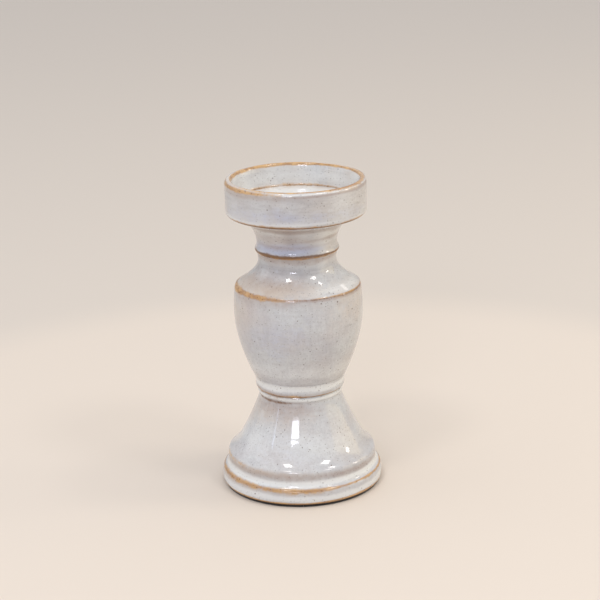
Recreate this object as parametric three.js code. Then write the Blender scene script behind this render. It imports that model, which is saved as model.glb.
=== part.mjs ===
// Pillar candle holder in reactive-glazed stoneware: a shallow cup on a baluster stand.
// It is thrown in six hollow sections that sit in one another on ring spigots and are luted
// together on the axis, and it stands on a felt ring made up of four quarters.
// Millimetres, +Z up, origin on the axis at the level of the surface that it stands on.
import * as THREE from "three";

// Heights above the table, from the felt up
const feltThickness = 1.3;
const jointGap = 0.3; // left between two pieces that touch
const plinthBottom = feltThickness + jointGap;
const plinthTop = 14.0;
const pedestalTop = 59.4;
const waistTop = 67.3;
const urnTop = 142.7;
const neckTop = 161.1;
const seatHeight = 172.3; // floor of the cup, where the candle stands
const rimHeight = 186.0;

// Radii of the outside
const plinthRadius = 48.0;
const pedestalEdgeRadius = 44.4;
const pedestalTopRadius = 25.0;
const beadRadius = 26.45;
const bellyRadius = 38.0;
const shoulderRadius = 37.2;
const throatRadius = 22.9;
const ridgeRadius = 24.65;
const neckRadius = 23.55;
const cupRadius = 41.2;

// The cup's wall, and the flat part of its floor
const rimThickness = 4.45;
const seatRadius = 32.6;

// Ring spigots: each section has one that stands in the socket of its neighbour
const spigotLength = 4.6;
const spigotWall = 4.0;
const neckSpigotRadius = 19.0;
const waistSpigotRadius = 21.0;
const pedestalSpigotRadius = 20.0;
const plinthSpigotRadius = 38.7;

// Felt ring under the plinth, in quarters
const feltQuarters = 4;
const feltOuterRadius = 46.2;
const feltInnerRadius = 36.6;

const turnSteps = 36; // sides of a turned piece
const curveSteps = 4; // straight steps in each curve of an outline

const stoneware = { color: 0xd9dee0, roughness: 0.12, metalness: 0 };
const felt = { color: 0x35302c, roughness: 0.95, metalness: 0 };

/** Turns a closed outline, drawn as radius and height, about the Z axis. */
function turned(name, outline) {
  const geometry = new THREE.LatheGeometry(outline.getPoints(curveSteps), turnSteps);
  geometry.rotateX(Math.PI / 2);
  const mesh = new THREE.Mesh(geometry, new THREE.MeshStandardMaterial(stoneware));
  mesh.name = name;
  return mesh;
}

/** An outline that starts at one point and goes on through the steps given to it. */
function outlineFrom(radius, height) {
  const path = new THREE.Path();
  path.moveTo(radius, height);
  return path;
}

/** The ring that carries the stand: a cove at the top, a soft outer edge and a flat foot. */
function plinthRing() {
  const inside = plinthSpigotRadius - spigotWall + 0.8;
  const outline = outlineFrom(inside, plinthBottom);
  outline.lineTo(plinthRadius - 1.4, plinthBottom);
  outline.quadraticCurveTo(plinthRadius - 0.4, plinthBottom + 0.15, plinthRadius - 0.15, 2.9);
  outline.lineTo(plinthRadius, 4.6);
  outline.quadraticCurveTo(plinthRadius, 7.0, plinthRadius - 0.3, 8.4);
  outline.quadraticCurveTo(plinthRadius - 0.6, 10.2, plinthRadius - 1.7, 10.7);
  outline.quadraticCurveTo(44.7, 11.6, 44.5, plinthTop);
  outline.lineTo(plinthSpigotRadius, plinthTop);
  outline.lineTo(plinthSpigotRadius, plinthTop + spigotLength);
  outline.lineTo(inside, plinthTop + spigotLength);
  outline.closePath();
  return turned("plinth_ring", outline);
}

/** The hollow trumpet foot, open below, with a small bead at its top. */
function pedestal() {
  const bottom = plinthTop + jointGap;
  const socket = plinthSpigotRadius + jointGap;
  const bore = pedestalSpigotRadius - spigotWall;
  const outline = outlineFrom(socket, bottom);
  outline.lineTo(pedestalEdgeRadius - 0.1, bottom);
  outline.lineTo(pedestalEdgeRadius, 16.4);
  outline.lineTo(pedestalEdgeRadius - 0.1, 18.9);
  outline.quadraticCurveTo(44.1, 20.5, 42.9, 21.3);
  outline.bezierCurveTo(37.6, 25.4, 35.0, 31.6, 32.0, 37.1);
  outline.bezierCurveTo(28.6, 44.6, 25.0, 52.0, 24.5, 55.6);
  outline.quadraticCurveTo(25.4, 57.4, pedestalTopRadius, pedestalTop);
  outline.lineTo(pedestalSpigotRadius, pedestalTop);
  outline.lineTo(pedestalSpigotRadius, pedestalTop + spigotLength);
  outline.lineTo(bore, pedestalTop + spigotLength);
  outline.lineTo(bore, pedestalTop);
  outline.bezierCurveTo(20.0, 52.0, 23.6, 41.6, 27.5, 34.1);
  outline.quadraticCurveTo(31.0, 26.8, 35.2, 22.2);
  outline.lineTo(socket, plinthTop + spigotLength + jointGap);
  outline.closePath();
  return turned("pedestal", outline);
}

/** The ring between the pedestal and the urn: a shallow cove over one round bead. */
function waistCollar() {
  const bottom = pedestalTop + jointGap;
  const socket = pedestalSpigotRadius + jointGap;
  const bore = waistSpigotRadius - spigotWall;
  const outline = outlineFrom(socket, bottom);
  outline.lineTo(beadRadius - 1.2, bottom);
  outline.quadraticCurveTo(beadRadius + 0.05, 60.4, beadRadius, 62.2);
  outline.quadraticCurveTo(beadRadius - 0.35, 64.9, beadRadius + 0.35, waistTop);
  outline.lineTo(waistSpigotRadius, waistTop);
  outline.lineTo(waistSpigotRadius, waistTop + spigotLength);
  outline.lineTo(bore, waistTop + spigotLength);
  outline.lineTo(bore, bottom + spigotLength + jointGap);
  outline.lineTo(socket, bottom + spigotLength + jointGap);
  outline.closePath();
  return turned("waist_collar", outline);
}

/** The hollow urn: a full belly, a sloping shoulder with a soft edge, and a throat. */
function urnBody() {
  const bottom = waistTop + jointGap;
  const socket = waistSpigotRadius + jointGap;
  const bore = neckSpigotRadius - spigotWall;
  const outline = outlineFrom(socket, bottom);
  outline.lineTo(27.0, bottom);
  outline.quadraticCurveTo(27.9, 69.2, 30.0, 73.2);
  outline.bezierCurveTo(34.5, 84.5, bellyRadius - 0.1, 96.0, bellyRadius, 106.5);
  outline.quadraticCurveTo(bellyRadius + 0.05, 113.0, shoulderRadius, 120.8);
  outline.quadraticCurveTo(shoulderRadius - 0.1, 122.9, 35.4, 123.9);
  outline.lineTo(31.2, 126.5);
  outline.bezierCurveTo(27.0, 129.8, throatRadius, 133.5, throatRadius, 138.3);
  outline.quadraticCurveTo(throatRadius + 0.1, 141.0, throatRadius + 1.0, urnTop);
  outline.lineTo(neckSpigotRadius, urnTop);
  outline.lineTo(neckSpigotRadius, urnTop + spigotLength);
  outline.lineTo(bore, urnTop + spigotLength);
  outline.lineTo(bore, 140.0);
  outline.bezierCurveTo(16.5, 130.5, 25.0, 124.5, 31.6, 119.4);
  outline.quadraticCurveTo(33.2, 113.0, 33.0, 106.5);
  outline.bezierCurveTo(32.8, 96.0, 29.6, 86.0, 24.8, 75.2);
  outline.lineTo(socket, waistTop + spigotLength + jointGap);
  outline.closePath();
  return turned("urn_body", outline);
}

/** The short waisted neck with one proud ridge round its foot, and a socket at each end. */
function neckCollar() {
  const bottom = urnTop + jointGap;
  const socket = neckSpigotRadius + jointGap;
  const bore = neckSpigotRadius - spigotWall;
  const outline = outlineFrom(socket, bottom);
  outline.lineTo(ridgeRadius - 0.4, bottom);
  outline.quadraticCurveTo(ridgeRadius + 0.3, 144.5, ridgeRadius - 0.15, 145.4);
  outline.quadraticCurveTo(neckRadius, 146.6, neckRadius, 148.9);
  outline.bezierCurveTo(neckRadius + 0.05, 153.0, 26.2, 157.6, 29.0, neckTop);
  outline.lineTo(socket, neckTop);
  outline.lineTo(socket, neckTop - spigotLength);
  outline.lineTo(bore, neckTop - spigotLength);
  outline.lineTo(bore, bottom + spigotLength + jointGap);
  outline.lineTo(socket, bottom + spigotLength + jointGap);
  outline.closePath();
  return turned("neck_collar", outline);
}

/** The shallow cup that holds the candle, with a rounded rim and a spigot under its floor. */
function candleCup() {
  const underside = neckTop + jointGap;
  const bore = neckSpigotRadius - spigotWall;
  const wallInside = cupRadius - rimThickness;
  const outline = outlineFrom(0, seatHeight - 6.3);
  outline.lineTo(bore, seatHeight - 6.3);
  outline.lineTo(bore, underside - spigotLength + jointGap);
  outline.lineTo(neckSpigotRadius, underside - spigotLength + jointGap);
  outline.lineTo(neckSpigotRadius, underside);
  outline.lineTo(29.6, underside);
  outline.lineTo(cupRadius - 1.8, 165.0);
  outline.quadraticCurveTo(cupRadius - 0.2, 166.0, cupRadius - 0.1, 168.6);
  outline.quadraticCurveTo(cupRadius + 0.1, 176.0, cupRadius - 0.05, 183.6);
  outline.quadraticCurveTo(cupRadius - 0.3, rimHeight, cupRadius - 2.3, rimHeight);
  outline.quadraticCurveTo(wallInside, rimHeight, wallInside - 0.05, 184.0);
  outline.lineTo(wallInside - 0.7, 176.2);
  outline.quadraticCurveTo(wallInside - 1.0, seatHeight, seatRadius, seatHeight);
  outline.lineTo(0, seatHeight);
  return turned("candle_cup", outline);
}

/** One quarter of the felt ring under the plinth, with its middle at an angle round the axis. */
function feltQuarter(number, angle) {
  const reach = Math.PI / feltQuarters - jointGap / 2 / feltInnerRadius;
  const outline = new THREE.Shape();
  outline.absarc(0, 0, feltOuterRadius, angle - reach, angle + reach, false);
  outline.absarc(0, 0, feltInnerRadius, angle + reach, angle - reach, true);
  outline.closePath();
  const geometry = new THREE.ExtrudeGeometry(outline, {
    depth: feltThickness,
    bevelEnabled: false,
    curveSegments: turnSteps / feltQuarters,
  });
  const quarter = new THREE.Mesh(geometry, new THREE.MeshStandardMaterial(felt));
  quarter.name = `felt_quarter_${number}`;
  return quarter;
}

const candleHolder = new THREE.Group();
candleHolder.add(plinthRing(), pedestal(), waistCollar(), urnBody(), neckCollar(), candleCup());
for (let i = 0; i < feltQuarters; i += 1) {
  const angle = ((i + 0.5) * 2 * Math.PI) / feltQuarters;
  candleHolder.add(feltQuarter(i + 1, angle));
}

export default candleHolder;
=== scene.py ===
"""Looks of the pillar candle holder: glazed stoneware on a felt ring, built round the CAD model.

Lengths in the outlines are millimetres, as in the CAD; meshes, lamps and the camera are in metres.
"""

import math

import bpy
import numpy as np
from mathutils import Matrix, Vector


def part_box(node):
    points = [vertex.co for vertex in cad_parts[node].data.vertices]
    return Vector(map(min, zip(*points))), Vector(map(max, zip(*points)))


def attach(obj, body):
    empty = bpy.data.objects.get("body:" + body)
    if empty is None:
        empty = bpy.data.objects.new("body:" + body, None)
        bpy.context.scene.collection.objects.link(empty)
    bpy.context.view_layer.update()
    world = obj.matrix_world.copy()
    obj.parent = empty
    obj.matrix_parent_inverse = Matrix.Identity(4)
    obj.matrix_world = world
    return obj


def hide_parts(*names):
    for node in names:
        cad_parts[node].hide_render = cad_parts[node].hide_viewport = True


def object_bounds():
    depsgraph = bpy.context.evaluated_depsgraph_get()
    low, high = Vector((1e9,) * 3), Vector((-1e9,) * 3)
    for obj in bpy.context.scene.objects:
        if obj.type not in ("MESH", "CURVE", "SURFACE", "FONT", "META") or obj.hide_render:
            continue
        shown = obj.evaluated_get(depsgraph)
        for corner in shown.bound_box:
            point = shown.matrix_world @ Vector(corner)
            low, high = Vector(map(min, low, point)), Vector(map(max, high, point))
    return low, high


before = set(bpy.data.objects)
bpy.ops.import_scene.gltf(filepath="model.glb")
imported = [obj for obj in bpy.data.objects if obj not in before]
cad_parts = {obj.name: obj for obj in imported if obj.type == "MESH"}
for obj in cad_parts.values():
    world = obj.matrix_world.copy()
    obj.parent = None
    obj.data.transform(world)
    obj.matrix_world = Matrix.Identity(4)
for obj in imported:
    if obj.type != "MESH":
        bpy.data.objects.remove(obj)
cad_low, cad_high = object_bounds()

MM = 0.001
TURN_STEPS = 288  # vertices round a turned piece
SHARP_ANGLE = math.radians(38)

# Spacing of an outline's points, in mm: on a tight curve, where it shows, and where it is plain or hidden
TIGHT, FINE, COARSE = 0.2, 0.45, 1.6


# ---------------------------------------------------------------- sizes from the frame


def span(node):
    """(lowest height, highest height, radius) of a CAD node, in mm."""
    low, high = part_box(node)
    return low[2] / MM, high[2] / MM, (high[0] - low[0]) / 2 / MM


plinth_bottom, plinth_tip, plinth_radius = span("plinth_ring")
pedestal_bottom, pedestal_tip, pedestal_radius = span("pedestal")
waist_bottom, waist_tip, _ = span("waist_collar")
urn_bottom, urn_tip, belly_radius = span("urn_body")
neck_bottom, neck_top, _ = span("neck_collar")
cup_bottom, rim_top, cup_radius = span("candle_cup")

# The CAD leaves a gap at each joint. The glaze closes it: outside, two sections meet at its middle.
GAP = 0.3
plinth_joint = pedestal_bottom - GAP / 2
pedestal_joint = waist_bottom - GAP / 2
waist_joint = urn_bottom - GAP / 2
urn_joint = neck_bottom - GAP / 2
neck_joint = neck_top + GAP / 2
CLEAR = 0.1  # a hidden face stands back from its neighbour by this much

# Radii of the ring spigots, and the thickness of their walls
PLINTH_SPIGOT, PEDESTAL_SPIGOT, WAIST_SPIGOT, NECK_SPIGOT = 38.7, 20.0, 21.0, 19.0
SPIGOT_WALL = 4.0

SEAT = 172.3  # height of the cup's floor
FELT_QUARTERS = 4
FELT_WIDTH = 9.6
FELT_SPREAD = 0.5  # how far the holder's weight presses the felt outwards


# ---------------------------------------------------------------- outlines and marks in the glaze


class Outline:
    """A path of (radius, height) points in mm. Each stretch is sampled at the path's own spacing."""

    def __init__(self, radius, height, step=FINE):
        self.points = [(radius, height)]
        self.bare = [0.0]
        self.step = step
        self.unglazed = 0.0

    def _add(self, curve, length):
        count = max(1, round(length / self.step))
        for i in range(1, count + 1):
            self.points.append(curve(i / count))
            self.bare.append(self.unglazed)

    def line(self, radius, height):
        start, end = np.array(self.points[-1]), np.array((radius, height))
        self._add(lambda t: tuple(start + (end - start) * t), np.linalg.norm(end - start))
        return self

    def curve(self, *controls):
        """A Bezier curve: one control point and an end, or two control points and an end."""
        corners = [np.array(p, float) for p in (self.points[-1], *controls)]
        order = len(corners) - 1
        weights = [math.comb(order, i) for i in range(order + 1)]

        def at(t):
            parts = zip(weights, corners, range(order + 1))
            return tuple(sum(w * p * t**i * (1 - t) ** (order - i) for w, p, i in parts))

        chords = np.diff([at(t) for t in np.linspace(0, 1, 17)], axis=0)
        self._add(at, np.linalg.norm(chords, axis=1).sum())
        return self

    def inside(self):
        """From here on the clay is bare and out of sight, so the points lie further apart."""
        self.step, self.unglazed = COARSE, 1.0
        return self

    def outside(self, step=FINE):
        """From here on the clay is glazed and seen."""
        self.step, self.unglazed = step, 0.0
        return self


# Where the glaze breaks thin over an edge or pools under one, and where shade and warm light are
# painted into it. Each mark has a channel, the radius and height of its middle, its half width, its
# strength, how much wider it grows on one side (swell, 1 for twice as wide), the azimuth of that side,
# and how closely it keeps to that side (focus, 0 for all round). Azimuths are in degrees from +X
# towards +Y, so the front is at 270 and the left at 180.
# The seventh channel is painted shade: it darkens the glaze where less light falls, on the cup, on the
# neck under the cup, on the throat and at the pedestal's right. The tan channel is the glaze's tan veil,
# and on the right-hand side it is also painted warm light.
CHANNELS = 7
AMBER, UMBER, MAUVE, TAN, POOL, BLUE, PAINTED_SHADE = range(CHANNELS)
MARKS = [
    # rim: a warm line on the inner edge, one on the outer edge at the left, one over the top at the
    # front, and milky or tan glaze between and below them
    (AMBER, 37.5, 185.4, 0.80, 1.0, 0.5, 150, 0),
    (AMBER, 38.7, 186.0, 1.50, 1.1, 0.0, 305, 1.3),
    (POOL, 40.7, 185.0, 0.60, 0.9, 0.0, 315, 1),
    (MAUVE, 41.1, 183.8, 0.90, 1.0, 0.0, 320, 1.5),
    (AMBER, 40.8, 184.7, 0.50, 1.0, 1.2, 195, 3),
    (TAN, 41.1, 183.4, 1.80, 0.8, 0.5, 205, 2),
    (TAN, 38.9, 186.0, 1.60, 1.0, 0.0, 200, 0),
    (POOL, 39.2, 186.0, 0.90, 0.3, 0.0, 270, 0),
    (MAUVE, 41.1, 182.4, 1.40, 0.55, 0.4, 240, 3),
    # cup: milky on its floor and paler up its inner wall, with painted shade on that wall at the left; a
    # brown line round its floor; painted shade outside, with painted warm light at the right; thick above
    # its brown lower edge
    (POOL, 15.0, 172.3, 24.0, 1.0, 0.0, 90, 0),
    (TAN, 15.0, 172.3, 22.0, 1.1, 0.0, 90, 0),
    (POOL, 36.2, 178.5, 5.50, 0.62, 0.0, 90, 0),
    (AMBER, 35.2, 172.9, 0.80, 0.6, 0.4, 90, 0.3),
    (UMBER, 35.0, 172.6, 0.60, 0.55, 0.4, 90, 0.3),
    (PAINTED_SHADE, 41.2, 178.0, 8.00, 0.68, 0.0, 250, 0.4),
    (PAINTED_SHADE, 41.2, 176.0, 11.0, 1.1, 0.0, 335, 2.5),
    (PAINTED_SHADE, 36.5, 180.0, 6.00, 0.95, 0.0, 165, 1.5),
    (TAN, 41.2, 176.0, 9.00, 1.4, 0.0, 345, 3),
    (POOL, 41.1, 167.6, 1.50, 0.6, 0.0, 270, 0),
    (BLUE, 41.1, 171.0, 5.00, 0.5, 0.0, 255, 1),
    (UMBER, 40.1, 165.3, 0.90, 0.9, 0.2, 330, 0),
    (AMBER, 40.3, 165.6, 1.10, 0.8, 0.2, 330, 0),
    # neck and throat: painted shade under the cup and on the throat, streaky, with a blue pool above the
    # ridge and thin glaze on and under it
    (PAINTED_SHADE, 26.5, 156.8, 7.00, 1.3, 0.0, 250, 0.3),
    # painted shade: the top of the neck darker under the cup
    (MAUVE, 28.6, 160.6, 2.60, 0.9, 0.0, 265, 0.5),
    (MAUVE, 24.9, 154.4, 2.80, 0.55, 0.4, 240, 0.6),
    (MAUVE, 24.6, 153.8, 1.60, 0.7, 0.0, 312, 1.5),
    (MAUVE, 23.6, 149.8, 1.10, 0.6, 0.4, 235, 1),
    (BLUE, 23.7, 148.2, 3.20, 1.1, 0.2, 248, 2.5),
    (POOL, 23.7, 147.2, 1.60, 0.55, 0.0, 330, 1),
    (UMBER, 24.5, 144.4, 0.66, 0.9, 0.4, 225, 0),
    (AMBER, 24.3, 143.7, 1.00, 0.8, 0.0, 320, 0),
    (MAUVE, 23.6, 141.8, 1.60, 0.8, 0.5, 245, 0.3),
    (PAINTED_SHADE, 23.5, 136.0, 4.00, 0.6, 0.0, 250, 0.6),
    (MAUVE, 29.0, 129.0, 6.50, 0.55, 0.0, 222, 2.5),
    # shoulder: a broken warm line on its edge, strongest at the left, with a tan veil above it and thin
    # glaze under it. Belly: tan at the left, painted warm light at the right, and bluish at the front.
    (TAN, 32.0, 126.0, 5.50, 0.68, 0.2, 212, 1.2),
    (POOL, 33.0, 125.5, 3.50, 0.5, 0.0, 325, 2),
    (AMBER, 36.7, 122.7, 0.76, 1.0, 1.7, 200, 2.4),
    (AMBER, 36.6, 122.9, 0.50, 0.8, 0.0, 335, 3),
    (UMBER, 36.8, 122.5, 0.50, 0.6, 0.3, 320, 1),
    (MAUVE, 37.0, 122.0, 1.00, 0.9, 0.0, 300, 0),
    (MAUVE, 37.4, 119.9, 2.20, 0.45, 0.4, 225, 1),
    (TAN, 37.9, 110.0, 12.0, 0.5, 0.0, 195, 4),
    (BLUE, 37.9, 100.0, 22.0, 0.4, 0.0, 250, 4),
    (TAN, 36.0, 118.0, 14.0, 0.5, 0.0, 345, 4),
    # waist: the urn's milky foot, a milky cove, a mauve bead and a brown crease, then the pedestal's
    # milky bead with brown blotches under it
    (POOL, 31.0, 76.0, 6.00, 0.5, 0.0, 270, 0),
    (MAUVE, 27.3, 67.8, 0.45, 0.4, 0.0, 270, 0),
    (POOL, 26.5, 64.9, 1.80, 1.0, 0.0, 270, 0),
    (MAUVE, 26.5, 61.3, 0.95, 0.6, 0.4, 225, 0.4),
    (AMBER, 25.8, 60.1, 0.80, 0.85, 0.4, 225, 0),
    (UMBER, 25.3, 59.8, 0.50, 0.75, 0.5, 250, 0),
    (POOL, 25.2, 57.9, 1.10, 1.0, 0.0, 270, 0),
    (UMBER, 24.6, 55.7, 0.60, 0.72, 0.6, 225, 4),
    (MAUVE, 25.6, 52.4, 4.60, 0.62, 0.3, 240, 3),
    (TAN, 27.5, 48.0, 9.00, 0.45, 0.0, 215, 2),
    # pedestal, with painted shade and painted warm light on its right side; its lower edge, the cove under
    # it, and the plinth's side and edges
    (POOL, 34.5, 32.0, 11.0, 0.45, 0.0, 250, 0.3),
    (BLUE, 36.0, 30.0, 12.0, 0.3, 0.0, 255, 4),
    (PAINTED_SHADE, 38.0, 28.0, 14.0, 0.5, 0.0, 335, 4),
    (TAN, 39.0, 27.0, 12.0, 0.4, 0.0, 345, 4),
    (MAUVE, 44.4, 17.1, 1.80, 0.65, 0.3, 225, 0),
    (TAN, 44.2, 18.5, 2.50, 0.6, 0.0, 215, 2),
    (AMBER, 43.9, 19.2, 0.90, 0.5, 0.3, 195, 4),
    (POOL, 44.7, 13.2, 1.90, 1.0, 0.0, 270, 0),
    (AMBER, 46.9, 10.1, 0.84, 0.78, 0.9, 228, 0),
    (TAN, 47.3, 9.4, 2.40, 0.5, 0.0, 215, 1),
    (MAUVE, 47.9, 8.2, 1.20, 0.5, 0.4, 230, 1),
    (UMBER, 47.1, 9.9, 0.80, 0.4, 0.4, 225, 0),
    (POOL, 47.95, 5.2, 2.20, 0.85, 0.0, 270, 0),
    (BLUE, 47.95, 5.2, 2.20, 0.3, 0.0, 270, 0),
    (AMBER, 47.7, 2.4, 0.70, 1.0, 0.0, 270, 0),
    (UMBER, 47.5, 1.9, 0.45, 0.9, 0.0, 270, 0),
]


def painted(path, azimuths):
    """How strongly each channel shows at each point of a path and azimuth, as a 3-D array."""
    waves = ((2, 0.14), (5, 0.12), (11, 0.08))  # a mark's width varies in this many waves, by this share
    rise, widest_rise = 0.22, 2.0  # it also rises and falls, by a share of its half width up to 2 mm
    marks = np.zeros((len(path), len(azimuths), CHANNELS))
    off_axis = np.clip(path[:, :1] / 20, 0, 1)  # the width varies less near the axis
    rng = np.random.default_rng(7)
    for channel, radius, height, half_width, strength, swell, side, focus in MARKS:
        *phases, rise_phase = rng.uniform(0, 2 * math.pi, len(waves) + 1)
        lean = (1 + np.cos(azimuths - math.radians(side))) / 2
        uneven = sum(share * np.sin(n * azimuths + phase) for (n, share), phase in zip(waves, phases))
        width = half_width * (1 + swell * lean**3) * (1 + off_axis * uneven)
        middle = height + rise * min(half_width, widest_rise) * np.sin(3 * azimuths + rise_phase)
        distance = np.hypot(path[:, :1] - radius, path[:, 1:] - middle)
        # A mark is about half as strong at its half width as at its middle.
        falloff = strength * lean**focus * np.exp(-0.7 * (distance / width) ** 2)
        marks[:, :, channel] = np.maximum(marks[:, :, channel], falloff)
    return marks


def hand_made(points):
    """Moves points a little inwards, as hand turning does: slightly out of round, with rings."""
    oval_depth, lobe_depth, ring_depth = 0.10, 0.05, 0.003  # in mm
    x, y, z = points.T
    azimuth = np.arctan2(y, x)
    radius = np.maximum(np.hypot(x, y), 1e-6)
    oval = oval_depth * (1 + np.cos(2 * azimuth + 0.9 + z * 0.02)) / 2
    lobes = lobe_depth * (1 + np.cos(3 * azimuth - 1.7 - z * 0.05)) / 2
    spiral = z + 0.35 * np.sin(azimuth + 0.4)
    wavy = spiral * 0.93 + 1.3 + 0.5 * np.sin(2 * azimuth)
    rings = ring_depth * (2 + np.sin(spiral * 1.7) + np.sin(wavy))
    ease = np.clip((radius - 6) / 12, 0, 1)  # nothing moves near the axis
    shrink = 1 - (oval + lobes + rings) * ease / radius
    return np.stack([x * shrink, y * shrink, z], axis=1)


def stand_in(name, node, vertices, faces):
    """A smooth-shaded piece, from vertices in mm, that stands for a CAD node."""
    mesh = bpy.data.meshes.new(name)
    mesh.from_pydata(np.array(vertices) * MM, [], faces)
    mesh.update()
    mesh.shade_smooth()
    mesh.set_sharp_from_angle(angle=SHARP_ANGLE)
    piece = bpy.data.objects.new(name, mesh)
    bpy.context.scene.collection.objects.link(piece)
    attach(piece, "root")
    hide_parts(node)
    return piece


def turned(node, outline, closed=True):
    """Turns an outline about the axis into the glazed piece that stands for a CAD node.

    A closed outline ends where it starts, and an open one starts and ends on the axis. The marks go
    into two colour attributes: "thin" has amber, umber, mauve and tan, where tan at the right-hand side is
    painted warm light, and "thick" has pool, blue, painted shade and how bare the clay is.
    """
    path, bare = np.array(outline.points), np.array(outline.bare)
    if closed:
        path, bare = path[:-1], bare[:-1]
    azimuths = np.linspace(0, 2 * math.pi, TURN_STEPS, endpoint=False)
    marks = painted(path, azimuths)
    rows = len(path)

    poles = () if closed else (0, rows - 1)
    vertices, values, first = [], [], {}
    for i in (*(i for i in range(rows) if i not in poles), *poles):
        radius, height = path[i]
        first[i] = len(vertices)
        for k in range(1 if i in poles else TURN_STEPS):
            vertices.append((radius * math.cos(azimuths[k]), radius * math.sin(azimuths[k]), height))
            values.append((*marks[i, k], bare[i]))

    faces = []
    for i in range(rows if closed else rows - 1):
        j = (i + 1) % rows
        for k in range(TURN_STEPS):
            after = (k + 1) % TURN_STEPS
            if i in poles:
                faces.append((first[i], first[j] + after, first[j] + k))
            elif j in poles:
                faces.append((first[i] + k, first[i] + after, first[j]))
            else:
                faces.append((first[i] + k, first[i] + after, first[j] + after, first[j] + k))

    piece = stand_in(f"{node}_glazed", node, hand_made(np.array(vertices)), faces)
    values = np.array(values, np.float32)
    for attribute, channels in (("thin", values[:, :POOL]), ("thick", values[:, POOL:])):
        colour = piece.data.attributes.new(attribute, "FLOAT_COLOR", "POINT")
        colour.data.foreach_set("color", channels.ravel())
    return piece


# ---------------------------------------------------------------- the six sections


def plinth():
    edge, inner = plinth_radius, PLINTH_SPIGOT - SPIGOT_WALL + 0.8
    path = Outline(44.45, plinth_joint).inside()
    path.line(PLINTH_SPIGOT, plinth_joint).line(PLINTH_SPIGOT, plinth_tip).line(inner, plinth_tip)
    path.line(inner, plinth_bottom + 0.8).curve((inner, plinth_bottom), (inner + 0.8, plinth_bottom))
    path.line(46.9, plinth_bottom)
    path.outside(step=TIGHT)
    path.curve((47.55, plinth_bottom), (47.7, 2.1))
    path.curve((47.85, 2.6), (edge - 0.1, 3.4))
    path.outside()
    path.curve((edge, 4.4), (edge, 5.2))
    path.curve((edge, 7.2), (edge - 0.3, 8.6))
    path.curve((edge - 0.6, 10.3), (edge - 1.9, 10.75))
    path.curve((44.75, 11.5), (44.45, plinth_joint))
    return turned("plinth_ring", path)


def pedestal():
    edge, spigot, socket = pedestal_radius, PEDESTAL_SPIGOT, PLINTH_SPIGOT + GAP
    bore = spigot - SPIGOT_WALL
    path = Outline(socket, plinth_joint + CLEAR).inside()
    path.line(44.2, plinth_joint + CLEAR)
    path.outside()
    path.line(44.45, plinth_joint)
    path.curve((edge - 0.05, 15.4), (edge, 16.6))
    path.line(edge - 0.1, 18.7)
    path.curve((44.15, 20.4), (42.9, 21.3))
    path.curve((37.6, 25.4), (35.0, 31.6), (32.0, 37.1))
    path.curve((28.6, 44.6), (25.0, 52.0), (24.55, 55.5))
    path.curve((24.6, 56.3), (25.0, 56.8))
    path.curve((25.55, 57.9), (25.1, 58.9))
    path.curve((24.95, 59.2), (24.8, pedestal_joint))
    path.inside()
    path.line(spigot, pedestal_joint).line(spigot, pedestal_tip).line(bore, pedestal_tip)
    path.line(bore, pedestal_joint)
    path.curve((20.0, 52.0), (23.6, 41.6), (27.5, 34.1))
    path.curve((31.0, 26.8), (35.2, 22.2))
    path.line(socket, plinth_tip + GAP).line(socket, plinth_joint + CLEAR)
    return turned("pedestal", path)


def waist_collar():
    spigot, socket = WAIST_SPIGOT, PEDESTAL_SPIGOT + GAP
    bore = spigot - SPIGOT_WALL
    path = Outline(socket, pedestal_joint + CLEAR).inside()
    path.line(24.6, pedestal_joint + CLEAR)
    path.outside()
    path.line(24.8, pedestal_joint)
    path.curve((25.9, 59.75), (26.35, 60.9))
    path.curve((26.55, 61.8), (26.4, 62.9))
    path.curve((26.3, 65.2), (27.1, waist_joint - 0.25))
    path.line(27.0, waist_joint)
    path.inside()
    path.line(spigot, waist_joint).line(spigot, waist_tip).line(bore, waist_tip)
    path.line(bore, pedestal_tip + 2 * GAP).line(socket, pedestal_tip + 2 * GAP)
    path.line(socket, pedestal_joint + CLEAR)
    return turned("waist_collar", path)


def urn():
    spigot, socket = NECK_SPIGOT, WAIST_SPIGOT + GAP
    bore = spigot - SPIGOT_WALL
    path = Outline(socket, waist_joint + CLEAR).inside()
    path.line(26.8, waist_joint + CLEAR)
    path.outside()
    path.line(27.0, waist_joint)
    path.curve((27.35, waist_joint + 0.1), (27.5, waist_joint + 0.55))
    path.curve((28.2, 69.6), (30.0, 73.2))
    path.curve((34.5, 84.5), (belly_radius - 0.1, 96.0), (belly_radius, 106.5))
    path.curve((belly_radius + 0.05, 113.0), (37.4, 119.8))
    path.curve((37.3, 121.8), (36.5, 123.0))
    path.curve((36.0, 123.5), (35.2, 123.95))
    path.line(31.2, 126.5)
    path.curve((27.0, 129.8), (22.9, 133.5), (22.9, 138.3))
    path.curve((22.95, 140.9), (23.75, urn_joint - 0.2))
    path.line(23.7, urn_joint)
    path.inside()
    path.line(spigot, urn_joint).line(spigot, urn_tip).line(bore, urn_tip).line(bore, 140.0)
    path.curve((16.5, 130.5), (25.0, 124.5), (31.6, 119.4))
    path.curve((33.2, 113.0), (33.0, 106.5))
    path.curve((32.8, 96.0), (29.6, 86.0), (24.8, 75.2))
    path.line(socket, waist_tip + GAP).line(socket, waist_joint + CLEAR)
    return turned("urn_body", path)


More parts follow.
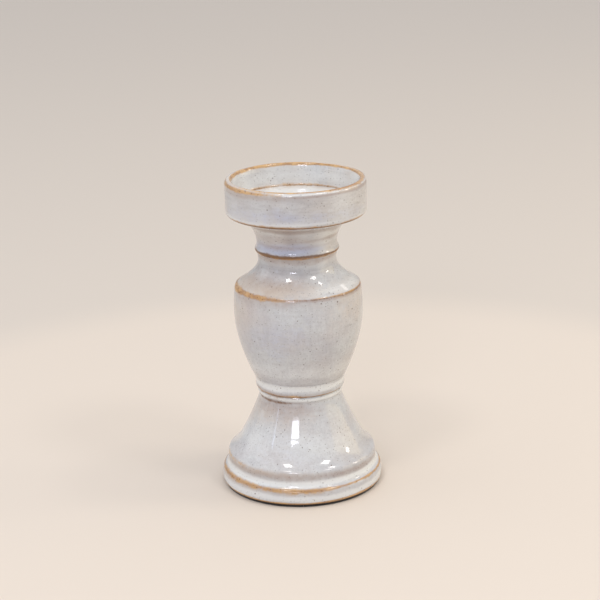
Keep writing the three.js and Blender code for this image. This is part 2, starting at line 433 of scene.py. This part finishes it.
def neck_collar():
    socket, bore = NECK_SPIGOT + GAP, NECK_SPIGOT - SPIGOT_WALL
    path = Outline(socket, urn_joint + CLEAR).inside()
    path.line(23.5, urn_joint + CLEAR)
    path.outside()
    path.line(23.7, urn_joint)
    path.curve((24.2, 142.95), (24.45, 143.5))
    path.curve((24.85, 144.5), (24.45, 145.3))
    path.curve((23.6, 146.5), (23.55, 148.9))
    path.curve((23.6, 153.0), (26.2, 157.6), (29.0, neck_joint))
    path.inside()
    path.line(socket, neck_joint).line(socket, cup_bottom - 2 * GAP).line(bore, cup_bottom - 2 * GAP)
    path.line(bore, urn_tip + 2 * GAP).line(socket, urn_tip + 2 * GAP)
    path.line(socket, urn_joint + CLEAR)
    return turned("neck_collar", path)


def candle_cup():
    outer, inner = cup_radius, cup_radius - 4.45
    spigot, bore = NECK_SPIGOT, NECK_SPIGOT - SPIGOT_WALL
    ceiling, underside = SEAT - 6.3, neck_joint + CLEAR / 2
    path = Outline(0.0, ceiling).inside()
    path.line(bore, ceiling).line(bore, cup_bottom).line(spigot, cup_bottom)
    path.line(spigot, underside).line(28.4, underside)
    path.outside()
    path.curve((30.0, underside), (31.2, neck_joint + 0.55))
    path.line(38.9, 164.85)
    path.curve((40.6, 165.4), (outer - 0.22, 167.0))
    path.curve((outer, 171.5), (outer, 176.5))
    path.line(outer - 0.05, 182.9)
    path.curve((outer - 0.15, 184.4), (outer - 0.95, 185.4))
    path.curve((outer - 1.5, 186.0), (outer - 2.4, rim_top))
    path.curve((outer - 3.0, rim_top), (inner + 1.0, 185.75))
    path.curve((inner + 0.65, 185.4), (inner + 0.4, 184.8))
    path.curve((inner + 0.05, 184.0), (inner - 0.35, 182.0))
    path.line(inner - 1.0, 174.6)
    path.curve((inner - 1.15, SEAT), (33.6, SEAT))
    path.outside(step=COARSE)
    path.line(0.0, SEAT)
    return turned("candle_cup", path, closed=False)


def felt_quarter(number):
    """A quarter of the felt ring, with soft, slightly ragged edges."""
    node = f"felt_quarter_{number}"
    low, high = (np.array(corner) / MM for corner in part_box(node))
    middle = math.atan2(low[1] + high[1], low[0] + high[0])
    outer, thickness = np.abs((low, high)).max() + FELT_SPREAD, high[2] - low[2]
    inner = outer - FELT_WIDTH
    reach = math.pi / FELT_QUARTERS - 0.05 / inner  # leaves 0.1 mm between two quarters
    soft = 0.3
    section = Outline(inner + soft, 0.0, step=0.35)
    section.line(outer - soft, 0.0).curve((outer, 0.0), (outer, soft))
    section.line(outer, thickness - soft).curve((outer, thickness), (outer - soft, thickness))
    section.line(inner + soft, thickness).curve((inner, thickness), (inner, thickness - soft))
    section.line(inner, soft).curve((inner, 0.0), (inner + soft, 0.0))
    ring = np.array(section.points[:-1])
    columns, rows = len(ring), 180

    # The fibres stand in by up to 0.12 mm at the cut sides, and by 0.3 of that at both ends.
    rng = np.random.default_rng(100 + number)
    ragged = rng.uniform(0.0, 0.12, (rows + 1, columns))
    off_middle = ring[:, 0] - (inner + outer) / 2
    side = np.where(np.abs(off_middle) > 0.45 * FELT_WIDTH, np.sign(off_middle), 0.0)
    vertices = []
    for i in range(rows + 1):
        end = (i == 0) - (i == rows)
        for k, (radius, height) in enumerate(ring):
            angle = middle + reach * (2 * i / rows - 1) + end * 0.3 * ragged[i, k] / radius
            out = radius - side[k] * ragged[i, k]
            vertices.append((out * math.cos(angle), out * math.sin(angle), low[2] + height))

    faces = []
    for start in range(0, rows * columns, columns):
        for k in range(columns):
            after = (k + 1) % columns
            faces.append((start + k, start + columns + k, start + columns + after, start + after))
    faces.append(tuple(range(columns)))
    faces.append(tuple(range((rows + 1) * columns - 1, rows * columns - 1, -1)))
    return stand_in(f"{node}_soft", node, vertices, faces)


# ---------------------------------------------------------------- materials


def srgb(red, green, blue):
    """A linear colour from a display colour of 0 to 255."""
    channels = [c / 255 for c in (red, green, blue)]
    linear = [c / 12.92 if c <= 0.04045 else ((c + 0.055) / 1.055) ** 2.4 for c in channels]
    return (*linear, 1.0)


class Shader:
    """A material under construction, with short calls for the nodes that it needs."""

    def __init__(self, name):
        self.material = bpy.data.materials.new(name)
        self.material.use_nodes = True
        self.tree = self.material.node_tree
        self.surface = self.tree.nodes["Principled BSDF"]

    def put(self, socket, value):
        """Sets an input to a number or a colour, or links it to another node's output."""
        if isinstance(value, bpy.types.NodeSocket):
            self.tree.links.new(value, socket)
        else:
            socket.default_value = value

    def node(self, kind, inputs=(), **settings):
        made = self.tree.nodes.new("ShaderNode" + kind)
        for name, value in settings.items():
            setattr(made, name, value)
        for name, value in dict(inputs).items():
            self.put(made.inputs[name], value)
        return made

    def millimetres(self, stretch=(1, 1, 1)):
        """Object coordinates in mm, with the pattern drawn out along an axis where stretch is over 1."""
        coordinates = self.node("TexCoord").outputs["Object"]
        scale = tuple(1 / MM / s for s in stretch)
        return self.node("Mapping", {"Vector": coordinates, "Scale": scale}).outputs["Vector"]

    def noise(self, size, detail=2.0, stretch=(1, 1, 1), roughness=0.55, offset=0.0):
        """Noise from about 0 to 1 with features of that size in mm."""
        inputs = {"Vector": self.millimetres(stretch), "Scale": 1 / size, "Detail": detail,
                  "Roughness": roughness, "W": offset}
        return self.node("TexNoise", inputs, noise_dimensions="4D").outputs["Fac"]

    def remap(self, value, low, high, out_low=0.0, out_high=1.0):
        """A smooth step from out_low, where the value is low or less, to out_high at high or more."""
        inputs = {"Value": value, "From Min": low, "From Max": high, "To Min": out_low, "To Max": out_high}
        return self.node("MapRange", inputs, interpolation_type="SMOOTHSTEP").outputs["Result"]

    def math(self, operation, first, second=0.0):
        made = self.node("Math", operation=operation)
        self.put(made.inputs[0], first)
        self.put(made.inputs[1], second)
        return made.outputs[0]

    def times(self, first, second):
        return self.math("MULTIPLY", first, second)

    def mix(self, factor, first, second):
        """A colour that is the first at a factor of 0 and the second at 1."""
        made = self.node("Mix", {0: factor, 6: first, 7: second}, data_type="RGBA")
        return made.outputs[2]

    def bump(self, height, strength, depth, over=None):
        """The normal of a relief up to a depth in mm, laid over another bump's normal if one is given."""
        inputs = {"Height": height, "Strength": strength, "Distance": depth * MM}
        if over is not None:
            inputs["Normal"] = over
        return self.node("Bump", inputs).outputs["Normal"]

    def specks(self, cell, radius, share, offset):
        """Round specks with soft edges, one in each of a share of the cells of a Voronoi pattern.

        Cell and radius are in mm, and a speck is from 0.4 of that radius to all of it.
        """
        shift = {0: self.millimetres(), 1: (offset, offset, offset)}
        moved = self.node("VectorMath", shift, operation="ADD").outputs["Vector"]
        cells = self.node("TexVoronoi", {"Vector": moved, "Scale": 1 / cell}, feature="F1")
        chance = self.node("SeparateColor", {"Color": cells.outputs["Color"]}).outputs
        chosen = self.math("LESS_THAN", chance["Red"], share)
        smallest = 0.4 * radius / cell
        reach = self.math("ADD", self.times(chance["Green"], radius / cell - smallest), smallest)
        inside = self.math("SUBTRACT", reach, cells.outputs["Distance"])
        return self.times(chosen, self.remap(inside, 0.0, smallest))


# How the edge of each kind of mark is drawn from its smooth falloff: where it starts to show and where
# it is full, and how far the fine, the ragged and the slow noise move that.
MARK_EDGES = {
    "amber": (0.2, 0.8, 0.5, 0.7, 0.35),
    "umber": (0.2, 0.8, 0.5, 0.5, 0.3),
    "mauve": (0.08, 0.95, 0.5, 0.6, 0.5),
    "tan": (0.1, 0.9, 0.4, 0.35, 0.5),
    "pool": (0.1, 0.9, 0.3, 0.3, 0.3),
    "blue": (0.15, 1.0, 0.4, 0.6, 0.5),
    "slate": (0.1, 0.95, 0.3, 0.35, 0.4),
}

# The dark specks of the glaze, in three sizes: cell and radius in mm, share of the cells, and strength
SPECKS = ((4.2, 0.62, 0.5, 0.9), (2.3, 0.5, 0.55, 0.7), (1.2, 0.38, 0.65, 0.52))


def mark_channels(shader):
    """The outputs that read the channels of the two colour attributes, by name."""
    channels = {}
    for attribute, names in (("thin", "amber umber mauve tan"), ("thick", "pool blue slate bare")):
        source = shader.node("Attribute", attribute_name=attribute).outputs
        parts = shader.node("SeparateColor", {"Color": source["Color"]}).outputs
        outputs = (parts["Red"], parts["Green"], parts["Blue"], source["Alpha"])
        channels.update(zip(names.split(), outputs))
    return channels


def glaze():
    shader = Shader("reactive_glaze")
    times, channels = shader.times, mark_channels(shader)

    fine = shader.noise(1.1, detail=3.0, roughness=0.6)
    ragged = shader.noise(2.6, detail=3.0, stretch=(1.5, 1.5, 0.8), offset=2.0)
    wander = shader.noise(11.0, detail=2.0, offset=3.0)

    def band(name):
        """A mark with speckled, wandering edges. The noise adds nothing where there is no mark."""
        low, high, *amounts = MARK_EDGES[name]
        moved = channels[name]
        for pattern, amount in zip((fine, ragged, wander), amounts):
            change = times(shader.math("SUBTRACT", pattern, 0.5), amount)
            moved = shader.math("ADD", moved, change)
        return times(shader.remap(moved, low, high), shader.remap(channels[name], 0.02, 0.2))

    def tint(colour, mark, opacity, tone):
        return shader.mix(times(mark, opacity), colour, tone)

    # the plain glaze: clouded, mottled and streaked all over
    clouds = shader.remap(shader.noise(15.0, detail=3.0, stretch=(1.5, 1.5, 1.0), offset=5.0), 0.35, 0.65)
    blush = shader.remap(shader.noise(22.0, detail=3.0, offset=6.0), 0.42, 0.68)
    mottle = shader.remap(shader.noise(4.2, detail=4.0, roughness=0.6, offset=9.0), 0.32, 0.68)
    streaks = shader.remap(shader.noise(1.7, detail=3.0, stretch=(7.0, 7.0, 0.8), offset=7.0), 0.4, 0.7)
    runs = shader.remap(shader.noise(1.5, detail=2.0, stretch=(1.0, 1.0, 6.0), offset=8.0), 0.4, 0.7)
    body = shader.mix(clouds, srgb(191, 192, 195), srgb(201, 204, 205))
    body = tint(body, blush, 0.45, srgb(196, 187, 182))
    body = tint(body, shader.math("SUBTRACT", 1.0, mottle), 0.26, srgb(171, 168, 171))
    body = tint(body, streaks, 0.2, srgb(173, 168, 168))
    body = tint(body, runs, 0.2, srgb(218, 218, 219))
    body = tint(body, shader.remap(fine, 0.38, 0.52, 1.0, 0.0), 0.14, srgb(150, 144, 146))
    body = tint(body, shader.remap(fine, 0.56, 0.7), 0.14, srgb(226, 225, 226))

    # the marks, from the palest up to the darkest, which lies over the others
    marks = {name: band(name) for name in MARK_EDGES}
    # the tan veil, which on the right-hand side is painted warm light
    colour = tint(body, marks["tan"], 0.7, srgb(205, 185, 162))
    # painted shade: darker, and streaked on the neck
    colour = tint(colour, marks["slate"], 0.68, srgb(160, 159, 164))
    colour = tint(colour, times(marks["slate"], streaks), 0.45, srgb(144, 138, 141))
    colour = tint(colour, marks["pool"], 0.8, srgb(229, 231, 230))
    colour = tint(colour, marks["blue"], 0.7, srgb(176, 184, 210))
    colour = tint(colour, marks["mauve"], 0.66, srgb(160, 142, 134))
    patchy = shader.remap(shader.math("ADD", ragged, times(fine, 0.4)), 0.5, 0.9)
    colour = tint(colour, marks["amber"], 0.85, shader.mix(patchy, srgb(158, 108, 46), srgb(202, 158, 94)))
    colour = tint(colour, marks["umber"], 0.88, srgb(112, 76, 44))
    worn = shader.math("MAXIMUM", marks["amber"], times(marks["mauve"], 0.5))
    dots = shader.specks(1.4, 0.55, 0.6, offset=120.0)
    colour = tint(colour, times(dots, worn), 0.8, srgb(92, 60, 38))

    clusters = shader.remap(shader.noise(13.0, detail=2.0, offset=51.0), 0.35, 0.62, 0.45, 1.0)
    spots = 0.0
    for number, (cell, radius, share, strength) in enumerate(SPECKS):
        size = times(shader.specks(cell, radius, share, offset=40.0 * number), strength)
        spots = shader.math("MAXIMUM", spots, size)
    spots = times(spots, clusters)
    colour = shader.mix(spots, colour, srgb(88, 66, 52))

    clay_grain = shader.noise(0.8, detail=5.0, offset=21.0)
    clay = shader.mix(clay_grain, srgb(128, 98, 72), srgb(164, 134, 104))
    bare = shader.remap(shader.math("ADD", channels["bare"], times(ragged, 0.4)), 0.55, 0.85)
    colour = shader.mix(bare, colour, clay)
    shader.put(shader.surface.inputs["Base Color"], colour)

    gloss = shader.remap(shader.noise(5.0, detail=3.0, offset=31.0), 0.3, 0.7, 0.045, 0.085)
    dry = shader.math("MAXIMUM", times(marks["amber"], 0.06), times(marks["umber"], 0.1))
    rough = shader.math("ADD", gloss, shader.math("ADD", dry, times(bare, 0.7)))
    shader.put(shader.surface.inputs["Roughness"], rough)
    shader.surface.inputs["IOR"].default_value = 1.54

    # a faint orange peel, a pit at each speck, and the grain of the bare clay
    normal = shader.bump(shader.noise(4.5, detail=1.0, offset=41.0), 0.2, 0.05)
    normal = shader.bump(shader.math("SUBTRACT", 1.0, spots), 0.4, 0.04, over=normal)
    normal = shader.bump(times(clay_grain, bare), 0.8, 0.15, over=normal)
    shader.put(shader.surface.inputs["Normal"], normal)
    return shader.material


def felt():
    shader = Shader("pressed_felt")
    fibres = shader.noise(0.35, detail=6.0, stretch=(2.5, 1.0, 1.0), roughness=0.7)
    flecks = shader.noise(1.4, detail=3.0, offset=5.0)
    colour = shader.mix(fibres, srgb(22, 18, 15), srgb(48, 41, 35))
    colour = shader.mix(shader.times(flecks, 0.4), colour, srgb(34, 29, 26))
    shader.put(shader.surface.inputs["Base Color"], colour)
    shader.surface.inputs["Roughness"].default_value = 0.95
    shader.surface.inputs["Sheen Weight"].default_value = 0.25
    shader.surface.inputs["Sheen Roughness"].default_value = 0.6
    shader.put(shader.surface.inputs["Normal"], shader.bump(fibres, 0.8, 0.2))
    return shader.material


# ---------------------------------------------------------------- floor, light and camera


def floor():
    """A plain pale floor that is a little greyer further from the holder. Lengths are in metres."""
    near, far, half_size = 0.31, 0.4, 20.0  # it turns greyer from near to far
    shader = Shader("pale_floor")
    coordinates = shader.node("TexCoord").outputs["Object"]
    reach = shader.node("VectorMath", {0: coordinates}, operation="LENGTH").outputs["Value"]
    colour = shader.mix(shader.remap(reach, near, far), srgb(217, 206, 194), srgb(208, 199, 189))
    shader.put(shader.surface.inputs["Base Color"], colour)
    shader.surface.inputs["Roughness"].default_value = 0.6
    corners = [(x * half_size, y * half_size, 0) for x, y in ((-1, -1), (1, -1), (1, 1), (-1, 1))]
    mesh = bpy.data.meshes.new("floor")
    mesh.from_pydata(corners, [], [(0, 1, 2, 3)])
    ground = bpy.data.objects.new("floor", mesh)
    ground.data.materials.append(shader.material)
    bpy.context.scene.collection.objects.link(ground)


# The room's own light, straight overhead and from the horizon down
ROOM_OVERHEAD, ROOM_BELOW = 1.06, 0.44

# Soft panels round the holder: azimuth in degrees from the camera's side, + to the right, elevation,
# width and height as seen from the holder in degrees, brightness on the room's scale, and colour.
PANELS = {
    "window": (-13.5, 27.2, 15, 6.8, 15.0, (0.86, 0.88, 1.0)),
    "left_high": (-36, 61, 9, 10, 15.0, (1.0, 0.98, 0.96)),
    "right_high": (54, 52, 10, 10, 12.0, (1.0, 0.97, 0.93)),
    "right_top": (88, 63, 8, 7, 12.0, (1.0, 0.96, 0.9)),
    "right_side": (94, 25, 6, 8, 12.0, (1.0, 0.95, 0.88)),
    "right_back": (142, 40, 8, 5, 2.5, (1.0, 0.95, 0.88)),
    "left_strip": (-61, 18, 2.5, 18, 4.0, (0.6, 0.72, 1.0)),
    "left_fill": (-95, 20, 50, 34, 0.6, (1.0, 0.97, 0.93)),
    "warm_side": (94, 18, 48, 28, 1.25, (1.0, 0.76, 0.34)),
}


def panel(name, azimuth, elevation, wide, high, brightness, colour):
    """A soft panel aimed at the middle of the holder, placed and sized by angles in degrees."""
    distance = 1.8  # in metres
    a, e = math.radians(azimuth), math.radians(elevation)
    middle = (Vector(cad_low) + Vector(cad_high)) / 2
    away = Vector((math.sin(a) * math.cos(e), -math.cos(a) * math.cos(e), math.sin(e)))
    data = bpy.data.lights.new(name, "AREA")
    data.shape = "RECTANGLE"
    data.size, data.size_y = (2 * distance * math.tan(math.radians(angle / 2)) for angle in (wide, high))
    data.energy = brightness * math.pi * data.size * data.size_y
    data.color = colour
    lamp = bpy.data.objects.new(name, data)
    lamp.location = middle + away * distance
    lamp.rotation_mode = "QUATERNION"
    lamp.rotation_quaternion = away.to_track_quat("Z", "Y")
    bpy.context.scene.collection.objects.link(lamp)


def lighting():
    for name, setting in PANELS.items():
        panel(name, *setting)
    world = bpy.data.worlds.new("room")
    world.use_nodes = True
    tree = world.node_tree
    direction = tree.nodes.new("ShaderNodeTexCoord").outputs["Generated"]
    height = tree.nodes.new("ShaderNodeSeparateXYZ")
    brightness = tree.nodes.new("ShaderNodeMapRange")
    brightness.inputs["To Min"].default_value = ROOM_BELOW
    brightness.inputs["To Max"].default_value = ROOM_OVERHEAD
    tree.links.new(direction, height.inputs[0])
    tree.links.new(height.outputs["Z"], brightness.inputs["Value"])
    background = tree.nodes["Background"]
    background.inputs["Color"].default_value = srgb(252, 252, 255)
    tree.links.new(brightness.outputs["Result"], background.inputs["Strength"])
    bpy.context.scene.world = world


def camera():
    """A long lens in front of the holder, looking down on it and turned a little about its own axis."""
    distance, height, aside = 0.9438, 0.40796, 0.00104  # from the origin, in metres
    look_down, roll = math.radians(17.43), math.radians(-1.4)
    data = bpy.data.cameras.new("camera")
    data.lens, data.sensor_width = 100.9, 36.0
    eye = bpy.data.objects.new("camera", data)
    turn = Matrix.Rotation(math.pi / 2 - look_down, 4, "X") @ Matrix.Rotation(roll, 4, "Z")
    eye.matrix_world = Matrix.Translation((aside, -distance, height)) @ turn
    bpy.context.scene.collection.objects.link(eye)
    bpy.context.scene.camera = eye


stoneware, pressed_felt = glaze(), felt()
for section in (plinth, pedestal, waist_collar, urn, neck_collar, candle_cup):
    section().data.materials.append(stoneware)
for quarter in range(1, FELT_QUARTERS + 1):
    felt_quarter(quarter).data.materials.append(pressed_felt)
floor()
lighting()
camera()
bpy.context.scene.view_settings.view_transform = "Standard"
